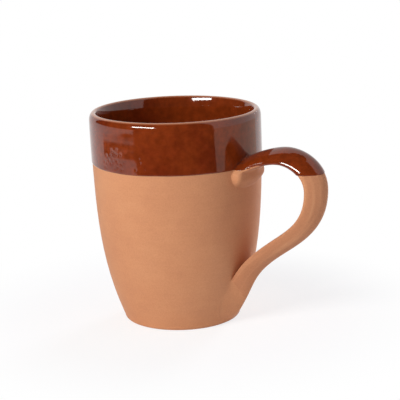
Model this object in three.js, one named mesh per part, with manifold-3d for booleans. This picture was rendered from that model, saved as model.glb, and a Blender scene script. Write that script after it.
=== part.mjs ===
// A thrown earthenware mug with a pulled handle, lined with glaze and dipped at the rim.
// Millimetres and degrees, +Z up, origin at the centre of the underside, +X towards the handle.
import * as THREE from 'three';
import { mergeVertices } from 'three/addons/utils/BufferGeometryUtils.js';
import Module from 'manifold-3d';

// The cup of clay
const CUP_HEIGHT = 103.4;
const BASE_DIAMETER = 56.2;
const BELLY_DIAMETER = 82.4;
const RIM_DIAMETER = 81.7;
const BELLY_DROP = 17.4; // below the top of the lip
const FOOT_FLARE = 23; // lean of the wall where it leaves the foot
const FOOT_PULL = 31; // length over which that lean acts
const BELLY_PULL = 26.5; // length over which the wall turns upright
const FOOT_ROUNDING = 0.8;
const WALL_THICKNESS = 4;
const LIP_THICKNESS = 2.6;
const FLOOR_THICKNESS = 6;
const FLOOR_FILLET = 10;

// The strap of the handle, measured along its middle
const UPPER_ROOT_DROP = 31; // below the top of the lip
const ROOT_SINK = 4.4; // where the middle line starts behind the wall's face
const ROOT_RISE_ANGLE = 42;
const ROOT_PULL = 17.6;
const CREST_RISE = 13.4; // above the upper root
const CREST_STANDOFF = 19; // from the wall at the upper root
const CREST_PULL = 9.7;
const HANDLE_REACH = 36.6; // from the wall at the upper root
const ELBOW_DROP = 15; // outermost point, below the crest
const ELBOW_PULL_UP = 9;
const ELBOW_PULL_DOWN = 30.4;
const TAIL_HEIGHT = 8; // above the table
const TAIL_LIFT = 0.7; // middle line in front of the wall's face
const TAIL_ANGLE = 80;
const TAIL_PULL = 37;

// The strap's section
const STRAP_WIDTH = 15;
const STRAP_THICKNESS = 7.8;
const ROOT_WIDTH = 25;
const ROOT_THICKNESS = 9.6;
const ROOT_BLEND = 17; // length over which the root narrows to the strap
const TAIL_WIDTH = 13;
const TAIL_THICKNESS = 5;
const TAIL_BLEND = 30;
const SECTION_SQUARENESS = 2.4; // 2 is an ellipse

// Slip joints and glaze
const SLIP_THICKNESS = 0.8;
const SLIP_SQUEEZE = 0.5; // how far the slip shows round the strap
const DIP_DEPTH = 24; // glaze line of the dip, below the top of the lip
const GLAZE_THICKNESS = 0.35;
const CLEARANCE = 0.3;

// Facets
const CUP_FACETS = 48;
const WALL_STEPS = 11;
const BAND_STEPS = 5;
const LIP_STEPS = 6;
const FILLET_STEPS = 5;
const FOOT_STEPS = 2;
const STRAP_SIDES = 20;
const STRAP_STEPS = 40;
const SHARED_CORNER = 1e-5; // corners of one geometry that are the same point
const CUT_CORNER = 0.02; // corners that a cut leaves too close together to tell apart

// Sizes that follow from these
const baseRadius = BASE_DIAMETER / 2;
const bellyRadius = BELLY_DIAMETER / 2;
const rimRadius = RIM_DIAMETER / 2;
const lipRadius = LIP_THICKNESS / 2;
const lipBase = CUP_HEIGHT - lipRadius;
const bellyHeight = CUP_HEIGHT - BELLY_DROP;
const glazeLine = CUP_HEIGHT - DIP_DEPTH;
const upperRootHeight = CUP_HEIGHT - UPPER_ROOT_DROP;
const slipFace = CLEARANCE + SLIP_THICKNESS;
const jointStandoff = slipFace + CLEARANCE;
const glazeFace = CLEARANCE + GLAZE_THICKNESS;
const jointsParting = (upperRootHeight + TAIL_HEIGHT) / 2;
const roomAround = 2 * CUP_HEIGHT; // larger than the mug, for half-space cuts

const wasm = await Module();
wasm.setup();

function direction(degrees, length) {
  const angle = THREE.MathUtils.degToRad(degrees);
  return new THREE.Vector2(Math.cos(angle), Math.sin(angle)).multiplyScalar(length);
}

// Outside of the wall: one curve from the foot to the belly, one from the belly to the lip
const footPoint = new THREE.Vector2(baseRadius, 0);
const bellyPoint = new THREE.Vector2(bellyRadius, bellyHeight);
const lipPoint = new THREE.Vector2(rimRadius, lipBase);
const shoulderHeight = (bellyHeight + lipBase) / 2;
const footCurve = new THREE.CubicBezierCurve(
  footPoint,
  footPoint.clone().add(direction(90 - FOOT_FLARE, FOOT_PULL)),
  bellyPoint.clone().sub(direction(90, BELLY_PULL)),
  bellyPoint
);
const lipCurve = new THREE.CubicBezierCurve(
  bellyPoint,
  new THREE.Vector2(bellyRadius, shoulderHeight),
  new THREE.Vector2(rimRadius, shoulderHeight),
  lipPoint
);

// Radius of the outside of the wall at a height, by halving the curve's range
function wallRadius(height) {
  const curve = height < bellyHeight ? footCurve : lipCurve;
  const halvings = 40;
  let low = 0;
  let high = 1;
  for (let i = 0; i < halvings; i += 1) {
    const middle = (low + high) / 2;
    if (curve.getPoint(middle).y < height) low = middle;
    else high = middle;
  }
  return curve.getPoint(low).x;
}

// The wall thins evenly from the floor to the lip
function innerRadius(height) {
  const share = (height - FLOOR_THICKNESS) / (lipBase - FLOOR_THICKNESS);
  return wallRadius(height) - THREE.MathUtils.lerp(WALL_THICKNESS, LIP_THICKNESS, share);
}

function steps(from, to, count) {
  return Array.from({ length: count + 1 }, (_, i) => THREE.MathUtils.lerp(from, to, i / count));
}

// Stretches of the cup's profile, each a list of points, in order round the section
function wallStretch(from, to, count) {
  return steps(from, to, count).map((height) => new THREE.Vector2(wallRadius(height), height));
}

function footStretch() {
  const corner = new THREE.QuadraticBezierCurve(
    new THREE.Vector2(baseRadius - FOOT_ROUNDING, 0),
    footPoint,
    new THREE.Vector2(wallRadius(FOOT_ROUNDING), FOOT_ROUNDING)
  );
  return [new THREE.Vector2(0, 0), ...corner.getPoints(FOOT_STEPS)];
}

function lipStretch() {
  const centre = new THREE.Vector2(rimRadius - lipRadius, lipBase);
  return steps(0, 180, LIP_STEPS).map((angle) => direction(angle, lipRadius).add(centre));
}

function liningStretch() {
  const filletTop = FLOOR_THICKNESS + FLOOR_FILLET;
  const wall = steps(lipBase, filletTop, WALL_STEPS).map(
    (height) => new THREE.Vector2(innerRadius(height), height)
  );
  const corner = new THREE.Vector2(innerRadius(FLOOR_THICKNESS), FLOOR_THICKNESS);
  const floorEdge = new THREE.Vector2(corner.x - FLOOR_FILLET, FLOOR_THICKNESS);
  const fillet = new THREE.QuadraticBezierCurve(wall.at(-1), corner, floorEdge);
  const floorCentre = new THREE.Vector2(0, FLOOR_THICKNESS);
  return join(wall, fillet.getPoints(FILLET_STEPS), floorCentre);
}

// Joins stretches and drops the points that two of them share
function join(...stretches) {
  return stretches
    .flat()
    .filter((point, i, all) => i === 0 || point.distanceTo(all[i - 1]) > SHARED_CORNER);
}

// Moves a stretch along its own normals, away from the clay; points on the axis stay there
function offset(points, distance) {
  return points.map((point, i) => {
    const before = points[Math.max(i - 1, 0)];
    const after = points[Math.min(i + 1, points.length - 1)];
    const along = after.clone().sub(before).normalize();
    const normal = point.x > 0 ? new THREE.Vector2(along.y, -along.x) : new THREE.Vector2(0, 1);
    return point.clone().addScaledVector(normal, distance);
  });
}

// Merges corners that lie close together and drops the triangles that this leaves empty
function welded(geometry, nearness) {
  geometry.deleteAttribute('normal');
  geometry.deleteAttribute('uv');
  const merged = mergeVertices(geometry, nearness);
  const corners = merged.index.array;
  const kept = [];
  for (let i = 0; i < corners.length; i += 3) {
    const [a, b, c] = corners.subarray(i, i + 3);
    if (a !== b && b !== c && c !== a) kept.push(a, b, c);
  }
  merged.setIndex(kept);
  return merged;
}

function solidOf(geometry) {
  const closed = welded(geometry, SHARED_CORNER);
  const vertProperties = Float32Array.from(closed.attributes.position.array);
  const triVerts = Uint32Array.from(closed.index.array);
  return new wasm.Manifold(new wasm.Mesh({ numProp: 3, vertProperties, triVerts }));
}

function geometryOf(solid) {
  const mesh = solid.getMesh();
  const geometry = new THREE.BufferGeometry();
  geometry.setAttribute('position', new THREE.BufferAttribute(mesh.vertProperties, mesh.numProp));
  geometry.setIndex(new THREE.BufferAttribute(mesh.triVerts, 1));
  const clean = welded(geometry, CUT_CORNER);
  clean.computeVertexNormals();
  return clean;
}

function turned(profile) {
  return solidOf(new THREE.LatheGeometry(profile, CUP_FACETS).rotateX(Math.PI / 2));
}

// A layer over a stretch of the profile, between two distances from the clay
function layer(stretch, near, far) {
  const inner = offset(stretch, near).reverse();
  const outer = offset(stretch, far);
  const endsOnAxis = stretch.at(-1).x === 0;
  return turned(endsOnAxis ? [...inner, ...outer] : [...outer, ...inner, outer[0]]);
}

// The cup's outside filled to its axis and grown by a distance
function filledCup(grown) {
  const outside = offset(wallStretch(0, lipBase, 2 * WALL_STEPS), grown);
  const bottom = new THREE.Vector2(0, outside[0].y);
  const top = new THREE.Vector2(0, outside.at(-1).y);
  return turned([bottom, ...outside, top]);
}

// Everything above, or below, a height
function above(height) {
  const block = new THREE.BoxGeometry(roomAround, roomAround, roomAround);
  return solidOf(block.translate(0, 0, height + roomAround / 2));
}

function below(height) {
  return above(height - roomAround);
}

// Middle line of the strap in the plane of the handle: root to crest, crest to elbow, elbow to tail
function strapPath() {
  const wall = wallRadius(upperRootHeight);
  const root = new THREE.Vector2(wall - ROOT_SINK, upperRootHeight);
  const crest = new THREE.Vector2(wall + CREST_STANDOFF, upperRootHeight + CREST_RISE);
  const elbow = new THREE.Vector2(wall + HANDLE_REACH, crest.y - ELBOW_DROP);
  const tail = new THREE.Vector2(wallRadius(TAIL_HEIGHT) + TAIL_LIFT, TAIL_HEIGHT);
  const outward = direction(0, CREST_PULL);
  const path = new THREE.CurvePath();
  path.add(
    new THREE.CubicBezierCurve(
      root,
      root.clone().add(direction(ROOT_RISE_ANGLE, ROOT_PULL)),
      crest.clone().sub(outward),
      crest
    )
  );
  path.add(
    new THREE.CubicBezierCurve(
      crest,
      crest.clone().add(outward),
      elbow.clone().add(direction(90, ELBOW_PULL_UP)),
      elbow
    )
  );
  path.add(
    new THREE.CubicBezierCurve(
      elbow,
      elbow.clone().sub(direction(90, ELBOW_PULL_DOWN)),
      tail.clone().add(direction(TAIL_ANGLE, TAIL_PULL)),
      tail
    )
  );
  return path;
}

// Half width and half thickness of the strap at a distance along it
function strapSection(run, length) {
  const { smoothstep } = THREE.MathUtils;
  const root = 1 - smoothstep(run, 0, ROOT_BLEND);
  const tail = smoothstep(run, length - TAIL_BLEND, length);
  const width = STRAP_WIDTH + (ROOT_WIDTH - STRAP_WIDTH) * root + (TAIL_WIDTH - STRAP_WIDTH) * tail;
  const thickness = STRAP_THICKNESS
    + (ROOT_THICKNESS - STRAP_THICKNESS) * root
    + (TAIL_THICKNESS - STRAP_THICKNESS) * tail;
  return { halfWidth: width / 2, halfThickness: thickness / 2 };
}

// The strap as rings of a rounded section along its middle line, grown by a distance
function strap(grown) {
  const path = strapPath();
  const length = path.getLength();
  const power = 2 / SECTION_SQUARENESS;
  const rounded = (value) => Math.sign(value) * Math.abs(value) ** power;
  const positions = [];
  const indices = [];
  for (let step = 0; step <= STRAP_STEPS; step += 1) {
    const share = step / STRAP_STEPS;
    const middle = path.getPointAt(share);
    const along = path.getTangentAt(share);
    const { halfWidth, halfThickness } = strapSection(share * length, length);
    for (let side = 0; side < STRAP_SIDES; side += 1) {
      const angle = (2 * Math.PI * side) / STRAP_SIDES;
      const across = rounded(Math.cos(angle)) * (halfWidth + grown);
      const outward = rounded(Math.sin(angle)) * (halfThickness + grown);
      positions.push(middle.x - along.y * outward, across, middle.y + along.x * outward);
    }
  }
  for (let step = 0; step < STRAP_STEPS; step += 1) {
    for (let side = 0; side < STRAP_SIDES; side += 1) {
      const a = step * STRAP_SIDES + side;
      const b = step * STRAP_SIDES + ((side + 1) % STRAP_SIDES);
      indices.push(a, b, a + STRAP_SIDES, b, b + STRAP_SIDES, a + STRAP_SIDES);
    }
  }
  const last = STRAP_STEPS * STRAP_SIDES;
  for (let side = 1; side < STRAP_SIDES - 1; side += 1) {
    indices.push(0, side + 1, side);
    indices.push(last, last + side, last + side + 1);
  }
  const geometry = new THREE.BufferGeometry();
  geometry.setAttribute('position', new THREE.Float32BufferAttribute(positions, 3));
  geometry.setIndex(indices);
  return solidOf(geometry);
}

// Pieces
function cupBody() {
  const profile = join(
    footStretch(),
    wallStretch(FOOT_ROUNDING, glazeLine, WALL_STEPS),
    wallStretch(glazeLine, lipBase, BAND_STEPS),
    lipStretch(),
    liningStretch()
  );
  return turned(profile);
}

function handle() {
  return strap(0).subtract(filledCup(jointStandoff));
}

function slipJoints() {
  const skin = filledCup(slipFace).subtract(filledCup(CLEARANCE));
  return strap(SLIP_SQUEEZE).intersect(skin);
}

// The lining stops short of the lip by the clearance to the dipped glaze
function liningGlaze() {
  const whole = layer(liningStretch(), CLEARANCE, glazeFace);
  return whole.intersect(below(lipBase - CLEARANCE));
}

function rimBandGlaze() {
  const dipped = join(wallStretch(glazeLine, lipBase, BAND_STEPS), lipStretch());
  return layer(dipped, CLEARANCE, glazeFace).subtract(strap(SLIP_SQUEEZE + CLEARANCE));
}

function handleGlaze() {
  const sleeve = strap(glazeFace).subtract(strap(CLEARANCE));
  return sleeve.intersect(above(glazeLine)).subtract(filledCup(jointStandoff));
}

function piece(name, solid, color, roughness) {
  const material = new THREE.MeshStandardMaterial({ color, roughness, metalness: 0 });
  const mesh = new THREE.Mesh(geometryOf(solid), material);
  mesh.name = name;
  return mesh;
}

const CLAY = { color: '#c88c64', roughness: 0.85 };
const SLIP = { color: '#c08560', roughness: 0.9 };
const GLAZE = { color: '#7a3614', roughness: 0.12 };

const joints = slipJoints();
const mug = new THREE.Group();
mug.add(
  piece('cup_body', cupBody(), CLAY.color, CLAY.roughness),
  piece('handle', handle(), CLAY.color, CLAY.roughness),
  piece('upper_slip_joint', joints.intersect(above(jointsParting)), SLIP.color, SLIP.roughness),
  piece('lower_slip_joint', joints.intersect(below(jointsParting)), SLIP.color, SLIP.roughness),
  piece('lining_glaze', liningGlaze(), GLAZE.color, GLAZE.roughness),
  piece('rim_band_glaze', rimBandGlaze(), GLAZE.color, GLAZE.roughness),
  piece('handle_glaze', handleGlaze(), GLAZE.color, GLAZE.roughness)
);

export default mug;
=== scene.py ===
"""A thrown earthenware mug: bare clay, with brown glaze on the lining, the rim and the top of the handle."""

import math

import bmesh
import bpy
import numpy as np
from bpy.props import FloatProperty, FloatVectorProperty, PointerProperty
from bpy.types import Operator, Panel, PropertyGroup
from mathutils import Matrix, Vector


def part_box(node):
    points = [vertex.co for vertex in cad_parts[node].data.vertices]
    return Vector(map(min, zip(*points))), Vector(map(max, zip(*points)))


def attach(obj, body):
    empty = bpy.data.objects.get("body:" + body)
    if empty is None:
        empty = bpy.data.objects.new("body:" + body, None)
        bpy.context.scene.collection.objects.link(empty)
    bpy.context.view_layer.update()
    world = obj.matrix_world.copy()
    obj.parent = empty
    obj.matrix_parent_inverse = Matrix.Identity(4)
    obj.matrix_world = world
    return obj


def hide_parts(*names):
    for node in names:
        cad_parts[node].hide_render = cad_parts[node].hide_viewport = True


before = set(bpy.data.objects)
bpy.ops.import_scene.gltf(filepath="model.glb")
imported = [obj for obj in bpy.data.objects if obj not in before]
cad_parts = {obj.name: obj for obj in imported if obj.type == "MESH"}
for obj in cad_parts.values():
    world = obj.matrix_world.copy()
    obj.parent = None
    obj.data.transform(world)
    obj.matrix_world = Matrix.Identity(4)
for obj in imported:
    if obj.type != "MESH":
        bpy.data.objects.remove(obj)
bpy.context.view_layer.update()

bl_info = {
    "name": "Dipped clay mug",
    "version": (1, 0, 0),
    "blender": (4, 5, 0),
    "location": "3D View > Sidebar > Mug",
    "description": "Throws, handles and glazes an earthenware mug piece by piece",
    "category": "Add Mesh",
}

MM = 0.001
COAT = 0.35 * MM  # thickness of the glaze
UNDER_CLAY = 0.05 * MM  # how far a coat's hidden side lies inside the clay
CUP_COLUMNS = 288
STRAP_SIDES = 64
STRAP_RINGS = 420
CURVE_SAMPLES = 1200
POINTS_AT_A_TIME = 4096
SHARP_CORNER = math.radians(50)
SAME_POINT = 1e-7
TINY = 1e-12  # keeps a division from having nothing below the line
WHITE = (1, 1, 1, 1)

cup_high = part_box("cup_body")[1]
handle_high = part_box("handle")[1]
dip_low, dip_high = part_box("rim_band_glaze")


# Sizes and colours that a user may change

def length(name, description, metres):
    return FloatProperty(name=name, description=description, default=metres, unit="LENGTH", precision=5)


def angle(name, description, degrees):
    return FloatProperty(name=name, description=description, default=math.radians(degrees), subtype="ANGLE")


def number(name, description, value, unit="NONE"):
    return FloatProperty(name=name, description=description, default=value, unit=unit)


def colour(name, description, red, green, blue):
    return FloatVectorProperty(
        name=name, description=description, default=(red, green, blue), subtype="COLOR", min=0, max=1
    )


class MugCupSizes(PropertyGroup):
    """Sizes of the thrown cup of clay"""

    height: length("Height", "Table to the top of the clay lip", dip_high.z - COAT)
    base_radius: length("Base radius", "Where the wall meets the table", 28.1 * MM)
    rim_radius: length("Rim radius", "Widest part of the clay wall, under the lip", dip_high.x - COAT)
    foot_flare: angle("Foot flare", "Lean of the wall where it leaves the foot", 22.6)
    foot_pull: length("Foot pull", "Length over which that lean acts", 31 * MM)
    rim_pull: length("Rim pull", "Length over which the wall turns upright", 44.5 * MM)
    foot_rounding: length("Foot rounding", "Softened edge of the base", 2 * MM)
    wall: length("Wall", "Thickness of the wall", 3.85 * MM)
    lip_outer: length("Lip outside", "Depth of the round on the outside of the lip", 1.9 * MM)
    lip_rise: length("Lip rise", "Height of the round on the outside of the lip", 3.6 * MM)
    lip_inner: length("Lip inside", "Radius of the round on the inside of the lip", 1.0 * MM)
    bevel_tilt: angle("Bevel tilt", "Lean of the inside just under the lip", 20)
    floor: length("Floor", "Thickness of the floor", 6 * MM)
    floor_fillet: length("Floor fillet", "Round between the floor and the wall", 10 * MM)
    lean: length("Lean", "How far the rim strays to one side", 0.4 * MM)
    lean_turn: angle("Lean turn", "The side to which the rim strays", -144)
    unevenness: length("Unevenness", "How far the hand-thrown wall strays from round", 0.1 * MM)
    ring_pitch: length("Ring pitch", "Distance between the throwing rings", 6.4 * MM)


class MugHandleSizes(PropertyGroup):
    """Sizes of the pulled strap of clay, measured along its middle"""

    root_drop: length("Root drop", "Upper root, below the top of the lip", 31 * MM)
    root_sink: length("Root sink", "Where the strap starts behind the wall's face", 4.4 * MM)
    root_depth: length("Root depth", "How deep the strap reaches into the wall", 1.6 * MM)
    root_rise: angle("Root rise", "Rise of the strap where it leaves the wall", 41.3)
    root_pull: length("Root pull", "Length over which that rise acts", 13.7 * MM)
    crest_standoff: length("Crest standoff", "Crest, from the wall at the upper root", 21.25 * MM)
    crest_sink: length("Crest sink", "Middle of the strap at the crest, below the frame's top", 5.9 * MM)
    crest_pull: length("Crest pull", "Length of the level stretch at the crest", 5.55 * MM)
    elbow_sink: length("Elbow sink", "Middle of the strap at the elbow, inside the frame", 4.95 * MM)
    elbow_drop: length("Elbow drop", "Outermost point, below the crest", 12.1 * MM)
    elbow_pull_up: length("Elbow pull up", "Upright stretch above the elbow", 8.15 * MM)
    elbow_pull_down: length("Elbow pull down", "Upright stretch below the elbow", 27.75 * MM)
    tail_height: length("Tail height", "End of the tail above the table", 3 * MM)
    tail_lift: length("Tail lift", "End of the tail in front of the wall's face", -2.2 * MM)
    tail_angle: angle("Tail angle", "Slope of the tail on the wall", 77.9)
    tail_pull: length("Tail pull", "Length over which that slope acts", 47.6 * MM)
    width: length("Width", "Width of the strap at the crest", 16.5 * MM)
    thickness: length("Thickness", "Thickness of the strap at the crest", 6.5 * MM)
    root_width: length("Root width", "Width of the strap at the upper root", 21.5 * MM)
    root_thickness: length("Root thickness", "Thickness of the strap at the upper root", 7.5 * MM)
    root_blend: length("Root blend", "Length over which the root narrows", 19 * MM)
    tail_width: length("Tail width", "Width of the strap at the tail", 12.9 * MM)
    tail_thickness: length("Tail thickness", "Thickness of the strap at the tail, before growth", 7.8 * MM)
    tail_blend: length("Tail blend", "Length over which the tail thins", 36 * MM)
    tip: length("Tip", "Length over which the end of the tail is rounded", 8 * MM)
    run_out: length("Run-out", "Length over which the tail thins into the wall", 23.5 * MM)
    squareness: number("Squareness", "Shape of the section, where 1 is a wedge and 2 is round", 1.55)
    tail_squareness: number("Tail squareness", "Shape of the section at the tail", 1.25)
    crown: number("Crown", "Rounding along the middle of the section", 0.07)
    fullness: number("Fullness", "How much further the section swells outside than inside", 0.8)
    growth: number("Growth", "How much thicker the strap is below the crest than above it", 0.23)


class MugJointSizes(PropertyGroup):
    """How far the clay was smoothed where the strap meets the wall"""

    crease: length("Crease", "Smoothing over and beside the root", 0.4 * MM)
    under_root: length("Under the root", "Smoothing between the strap and its pressed pad", 3 * MM)
    pad_width: length("Pad width", "Width of the pad that was pressed on the wall", 22.2 * MM)
    pad_aside: length("Pad aside", "How far the pad lies to one side of the handle", -0.6 * MM)
    pad_height: length("Pad height", "Height of the middle of the pad", 76.5 * MM)
    pad_reach: length("Pad reach", "From the middle of the pad to its lower end", 7.2 * MM)
    pad_rise: length("Pad rise", "From the middle of the pad to its upper end", 6 * MM)
    pad_thickness: length("Pad thickness", "How far the pad stands off the wall", 4.6 * MM)
    pad_edge: length("Pad edge", "Rounding of the pad's edge", 2.6 * MM)
    pad_slope: number("Pad slope", "How much thinner the pad is on its far side", 0.12)
    over_tail: length("Over the tail", "Smoothing in the crook above the tail", 0.5 * MM)
    under_tail: length("Under the tail", "Smoothing where the tail runs out", 6 * MM)
    grain: length("Grain", "Fineness of the smoothed clay", 0.36 * MM)


class MugGlazeSizes(PropertyGroup):
    """Sizes of the coat of glaze"""

    line: length("Glaze line", "Height of the dip's edge above the table", dip_low.z)
    thickness: length("Thickness", "How far the coat stands proud of the clay", COAT)
    edge: length("Edge", "Height over which the coat's edge is rounded", 0.7 * MM)
    waver: length("Waver", "How far the dip's edge strays from level", 0.16 * MM)
    pool: length("Pool", "Extra glaze gathered on the floor", 0.7 * MM)
    seam_drop: length("Seam drop", "Where the lining meets the dip, below the lip", 10 * MM)
    root_climb: length("Root climb", "How far the dip's edge climbs along the handle's root", 2.8 * MM)
    unevenness: length("Unevenness", "How far the coat's thickness varies", 0.035 * MM)
    pit_depth: length("Pit depth", "Depth of the pits in the coat", 0.3 * MM)
    pit_radius: length("Pit radius", "Size of the pits in the coat", 0.7 * MM)


class MugColours(PropertyGroup):
    """Colours of the fired clay and the glaze"""

    clay: colour("Clay", "Bare fired clay", 0.61, 0.268, 0.127)
    clay_dark: colour("Dark clay", "Stained and damp-looking patches", 0.53, 0.216, 0.102)
    clay_pale: colour("Pale clay", "Dry scuffed patches", 0.66, 0.315, 0.158)
    glaze: colour("Glaze", "Body of the coat", 0.19, 0.028, 0.0046)
    glaze_deep: colour("Deep glaze", "Where the coat is thick", 0.145, 0.018, 0.0034)
    glaze_thin: colour("Thin glaze", "Where the coat thins over an edge", 0.58, 0.22, 0.1)
    floor: colour("Floor", "Pale floor under the mug", 0.92, 0.915, 0.905)


def lamp_group(class_name, title, power, turn, rise, distance, width, height):
    """A group with the settings of one lamp."""
    settings = {
        "power": number("Power", f"Watts of the {title}", power, unit="POWER"),
        "turn": angle("Turn", f"Bearing of the {title} from the camera", turn),
        "rise": angle("Rise", f"Height of the {title} as an angle", rise),
        "distance": length("Distance", f"From the mug to the {title}", distance),
        "width": length("Width", f"Width of the {title}", width),
        "height": length("Height", f"Height of the {title}", height),
    }
    return type(class_name, (PropertyGroup,), {"__doc__": f"The {title}", "__annotations__": settings})


MugKeyLamp = lamp_group(
    "MugKeyLamp", "soft lamp on the left",
    power=10.9, turn=-45, rise=29.5, distance=1.25, width=0.62, height=0.16,
)
MugEdgeLamp = lamp_group(
    "MugEdgeLamp", "lamp behind on the right",
    power=13.5, turn=148, rise=9, distance=1.3, width=0.4, height=0.4,
)
MugFillLamp = lamp_group(
    "MugFillLamp", "soft lamp on the right",
    power=2.0, turn=82, rise=14, distance=1.2, width=0.8, height=0.8,
)


class MugStageSizes(PropertyGroup):
    """Camera and surroundings"""

    camera_turn: angle("Camera turn", "Bearing of the camera round the mug", 36)
    camera_distance: length("Camera distance", "From the axis of the cup, level", 667.4 * MM)
    camera_height: length("Camera height", "Above the table", 217 * MM)
    camera_aside: angle("Camera aside", "How far the camera looks beside the axis", 0.896)
    camera_dip: angle("Camera dip", "How far the camera looks down", 13.406)
    camera_roll: angle("Camera roll", "How far the camera leans over", 1.876)
    lens: number("Lens", "Focal length on a 36 mm frame, in millimetres", 125.0, unit="CAMERA")
    ambient: number("Ambient", "Light from all round", 0.29)
    floor_radius: length("Floor radius", "Reach of the floor", 6.0)
    # The gloom and the dark mat are painted dark reflections, glowing sheets that only gloss shows; the low
    # card, the panel and the backdrop are openings in them where gloss sees the white room
    gloom_left: angle("Gloom left", "Left edge of the unlit front of the room", -56)
    gloom_right: angle("Gloom right", "Right edge of the unlit front of the room", 50)
    gloom_start: length("Gloom start", "Where the unlit front begins", 0.16)
    gloom_reach: length("Gloom reach", "Where the unlit front ends", 2.0)
    dark_reflection_left: angle("Mat left", "Left edge of a dark mat on the floor", -108)
    dark_reflection_slant: angle("Mat slant", "How far the near floor's dark edge lies to the right of the rest", 4)
    dark_reflection_start: length("Mat start", "Near edge of the dark mat", 0.4)
    dark_reflection_end: length("Mat end", "Far edge of the dark mat", 0.49)
    dark_reflection_gap: length("Mat gap", "Over which the near floor's dark edge slants", 0.05)
    card_top: angle("Card top", "Top of the pale low card on the left", 5)
    panel_top: angle("Panel top", "Top of the pale panel on the right", 72)
    backdrop_turn: angle("Backdrop turn", "Where the pale backdrop begins, from the camera", 130)
    backdrop_top: angle("Backdrop top", "Top of the pale backdrop", 76)


# Curves and grids

def smoothstep(value, low, high):
    share = np.clip((value - low) / (high - low), 0, 1)
    return share * share * (3 - 2 * share)


def quarter_round(share):
    """Height of a quarter circle at a share of its width."""
    return np.sqrt(1 - (1 - share) ** 2)


def all_round(columns):
    return np.linspace(0, 2 * math.pi, columns, endpoint=False)


def read_off(runs, known_runs, columns):
    """Columns of values, read off at distances along a line."""
    return np.stack([np.interp(runs, known_runs, column) for column in columns.T], axis=-1)


def bezier(start, first_pull, second_pull, end):
    """Points of a cubic curve."""
    share = np.linspace(0, 1, CURVE_SAMPLES)[:, None]
    rest = 1 - share
    start, first_pull, second_pull, end = map(np.asarray, (start, first_pull, second_pull, end))
    return (
        rest**3 * start
        + 3 * rest**2 * share * first_pull
        + 3 * rest * share**2 * second_pull
        + share**3 * end
    )


def heading(turn, distance):
    return distance * np.array((math.cos(turn), math.sin(turn)))


def even_steps(low, high, step):
    count = max(2, round(abs(high - low) / step) + 1)
    return np.linspace(low, high, count)


def smooth_union(first, second, reach):
    """The lesser of two distances, rounded where they are alike."""
    return np.minimum(first, second) - np.maximum(reach - np.abs(first - second), 0) ** 2 / (4 * reach)


def grid_faces(rows, columns, wrap_rows=False, wrap_columns=False):
    """Four-sided faces of a grid of points that are numbered row by row."""
    last_row = rows if wrap_rows else rows - 1
    last_column = columns if wrap_columns else columns - 1
    faces = []
    for row in range(last_row):
        above = (row + 1) % rows
        for column in range(last_column):
            beside = (column + 1) % columns
            faces.append((
                row * columns + column,
                row * columns + beside,
                above * columns + beside,
                above * columns + column,
            ))
    return faces


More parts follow.
